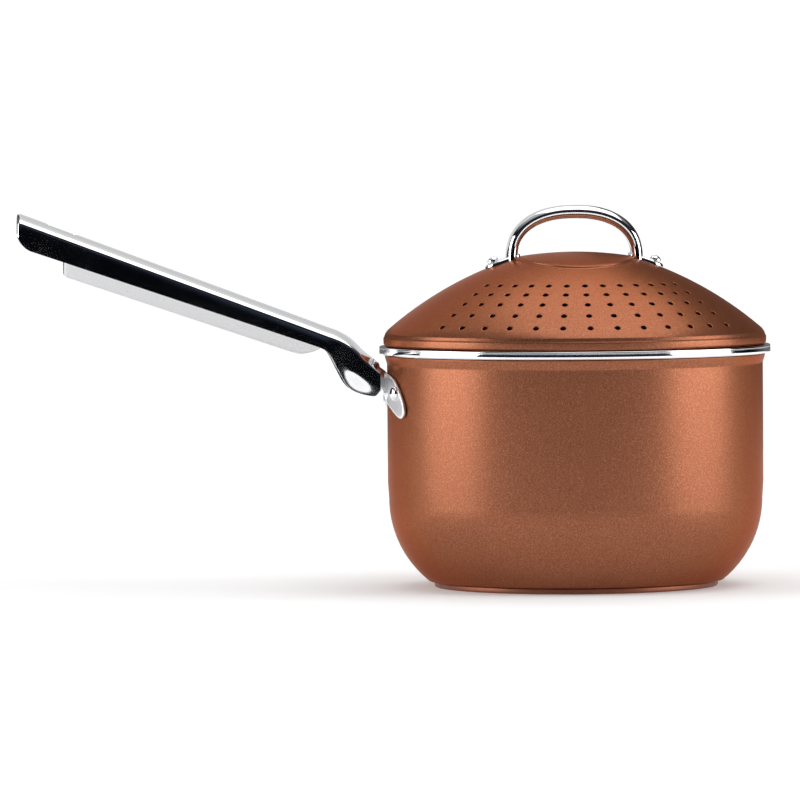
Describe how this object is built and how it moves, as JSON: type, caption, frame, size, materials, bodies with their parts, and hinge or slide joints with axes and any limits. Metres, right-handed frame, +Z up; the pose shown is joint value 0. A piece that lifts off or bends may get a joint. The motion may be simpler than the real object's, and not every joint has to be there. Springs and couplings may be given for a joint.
{
  "type": "saucepan with lid",
  "caption": "Deep round saucepan with a long hollow steel handle and a domed straining lid with an arched handle, copper-coloured coating.",
  "frame": {"origin": "on the surface that the pan stands on, at the pot's own axis", "axes": "+Z up along the pot's axis, the long handle points along -X, the lid's straining holes face -Y"},
  "size_m": [0.4001, 0.2082, 0.2028],
  "materials": {
    "copper_coating": "satin copper-coloured coating with fine metallic speckle over aluminium",
    "base_metal": "turned disc with a copper-coloured edge",
    "polished_steel": "mirror-polished stainless steel",
    "satin_steel": "satin stainless steel"
  },
  "bodies": {
    "pot": {"pot_body": "copper_coating", "base_plate": "base_metal", "rim_ring": "polished_steel", "handle_bracket": "satin_steel", "handle_upper_shell": "polished_steel", "handle_lower_shell": "satin_steel", "bracket_rivet_front": "polished_steel", "bracket_rivet_back": "polished_steel"},
    "lid": {"lid_dome": "copper_coating", "lid_handle": "polished_steel", "lid_rivet_left": "polished_steel", "lid_rivet_right": "polished_steel", "lid_washer_left": "satin_steel", "lid_washer_right": "satin_steel"}
  },
  "joints": [
    {"name": "lid_lift", "type": "slide", "parent": "pot", "child": "lid", "axis": [0, 0, 1], "range_m": [0, 0.12]}
  ]
}
